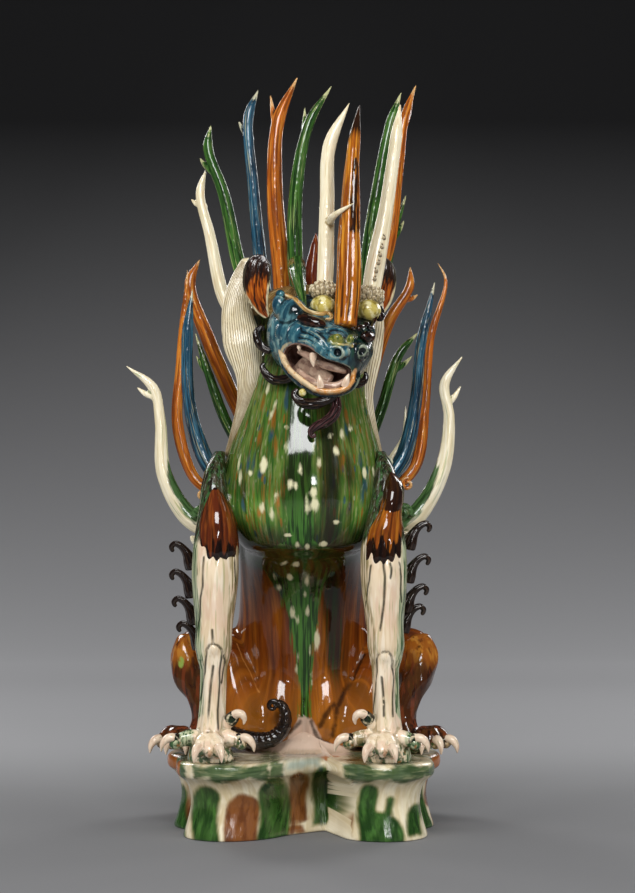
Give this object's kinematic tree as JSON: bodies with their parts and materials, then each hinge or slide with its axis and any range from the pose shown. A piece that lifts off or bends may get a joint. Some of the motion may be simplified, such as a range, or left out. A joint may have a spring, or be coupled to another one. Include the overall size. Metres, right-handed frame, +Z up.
{
  "type": "tomb guardian beast",
  "caption": "Seated horned guardian beast in multi-coloured lead-glazed earthenware, with a crown of flame-like spikes, on a lobed plinth.",
  "frame": {"origin": "middle of the plinth's underside, on the surface that the object stands on", "axes": "+Z up, -Y towards the viewer that the beast faces, +X to that viewer's right"},
  "size_m": [0.4081, 0.3417, 0.9183],
  "materials": {
    "sancai_beast": "glossy lead glaze in green, amber, cream, blue and brown",
    "sancai_plinth": "glossy lead glaze, cream with green and amber runs",
    "glaze_cream": "glossy clear lead glaze over pale slip",
    "glaze_green": "glossy copper-green lead glaze",
    "glaze_blue": "glossy cobalt-blue lead glaze",
    "glaze_amber": "glossy iron-amber lead glaze",
    "glaze_red_brown": "glossy red-brown lead glaze"
  },
  "bodies": {
    "root": {"plinth": "sancai_plinth", "beast": "sancai_beast", "spike_crown_cream_left": "glaze_cream", "spike_crown_green_left": "glaze_green", "spike_crown_blue_left": "glaze_blue", "spike_crown_amber_left": "glaze_amber", "spike_crown_green_middle": "glaze_green", "spike_crown_green_right": "glaze_green", "spike_crown_amber_right": "glaze_amber", "spike_crown_green_short": "glaze_green", "spike_shoulder_amber_left": "glaze_amber", "spike_shoulder_amber_right": "glaze_amber", "spike_shoulder_green_left": "glaze_green", "spike_shoulder_green_right": "glaze_green", "spike_nape_red": "glaze_red_brown", "spike_shoulder_short_left": "glaze_cream", "spike_shoulder_short_right": "glaze_cream", "flame_shoulder_left": "glaze_blue", "flame_shoulder_right": "glaze_blue", "wing_left": "glaze_cream", "wing_right": "glaze_cream", "antler_left": "glaze_cream", "antler_right": "glaze_cream", "brow_flame": "glaze_amber"}
  },
  "joints": []
}
